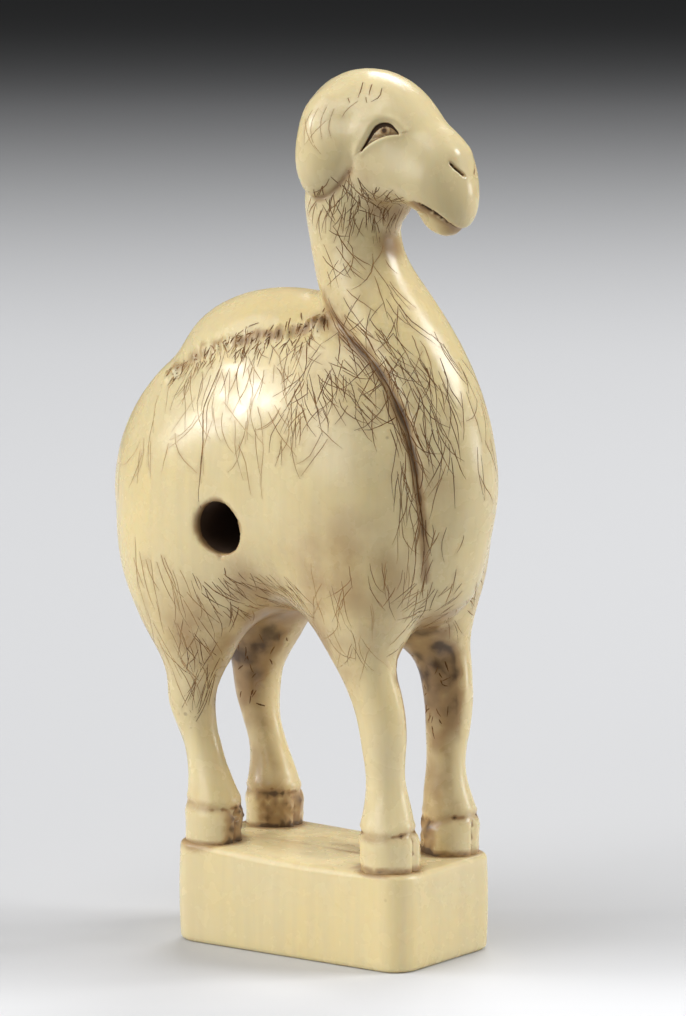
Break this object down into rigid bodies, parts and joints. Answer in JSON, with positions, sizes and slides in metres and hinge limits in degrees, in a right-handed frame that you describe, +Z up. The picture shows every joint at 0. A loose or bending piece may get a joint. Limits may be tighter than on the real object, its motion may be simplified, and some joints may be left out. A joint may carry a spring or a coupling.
{
  "type": "netsuke",
  "caption": "Standing camel carved in one piece with a rounded block base, with a low hump, drooping ears and a cord channel through the flanks.",
  "frame": {"origin": "middle of the underside of the block base", "axes": "+X the way the animal faces, along the base's long side; +Y to its left; +Z up"},
  "size_m": [0.0349, 0.018, 0.0698],
  "materials": {
    "ivory": "polished, aged cream with brown stain in the cuts"
  },
  "bodies": {
    "root": {"camel_netsuke": "ivory"}
  },
  "joints": []
}
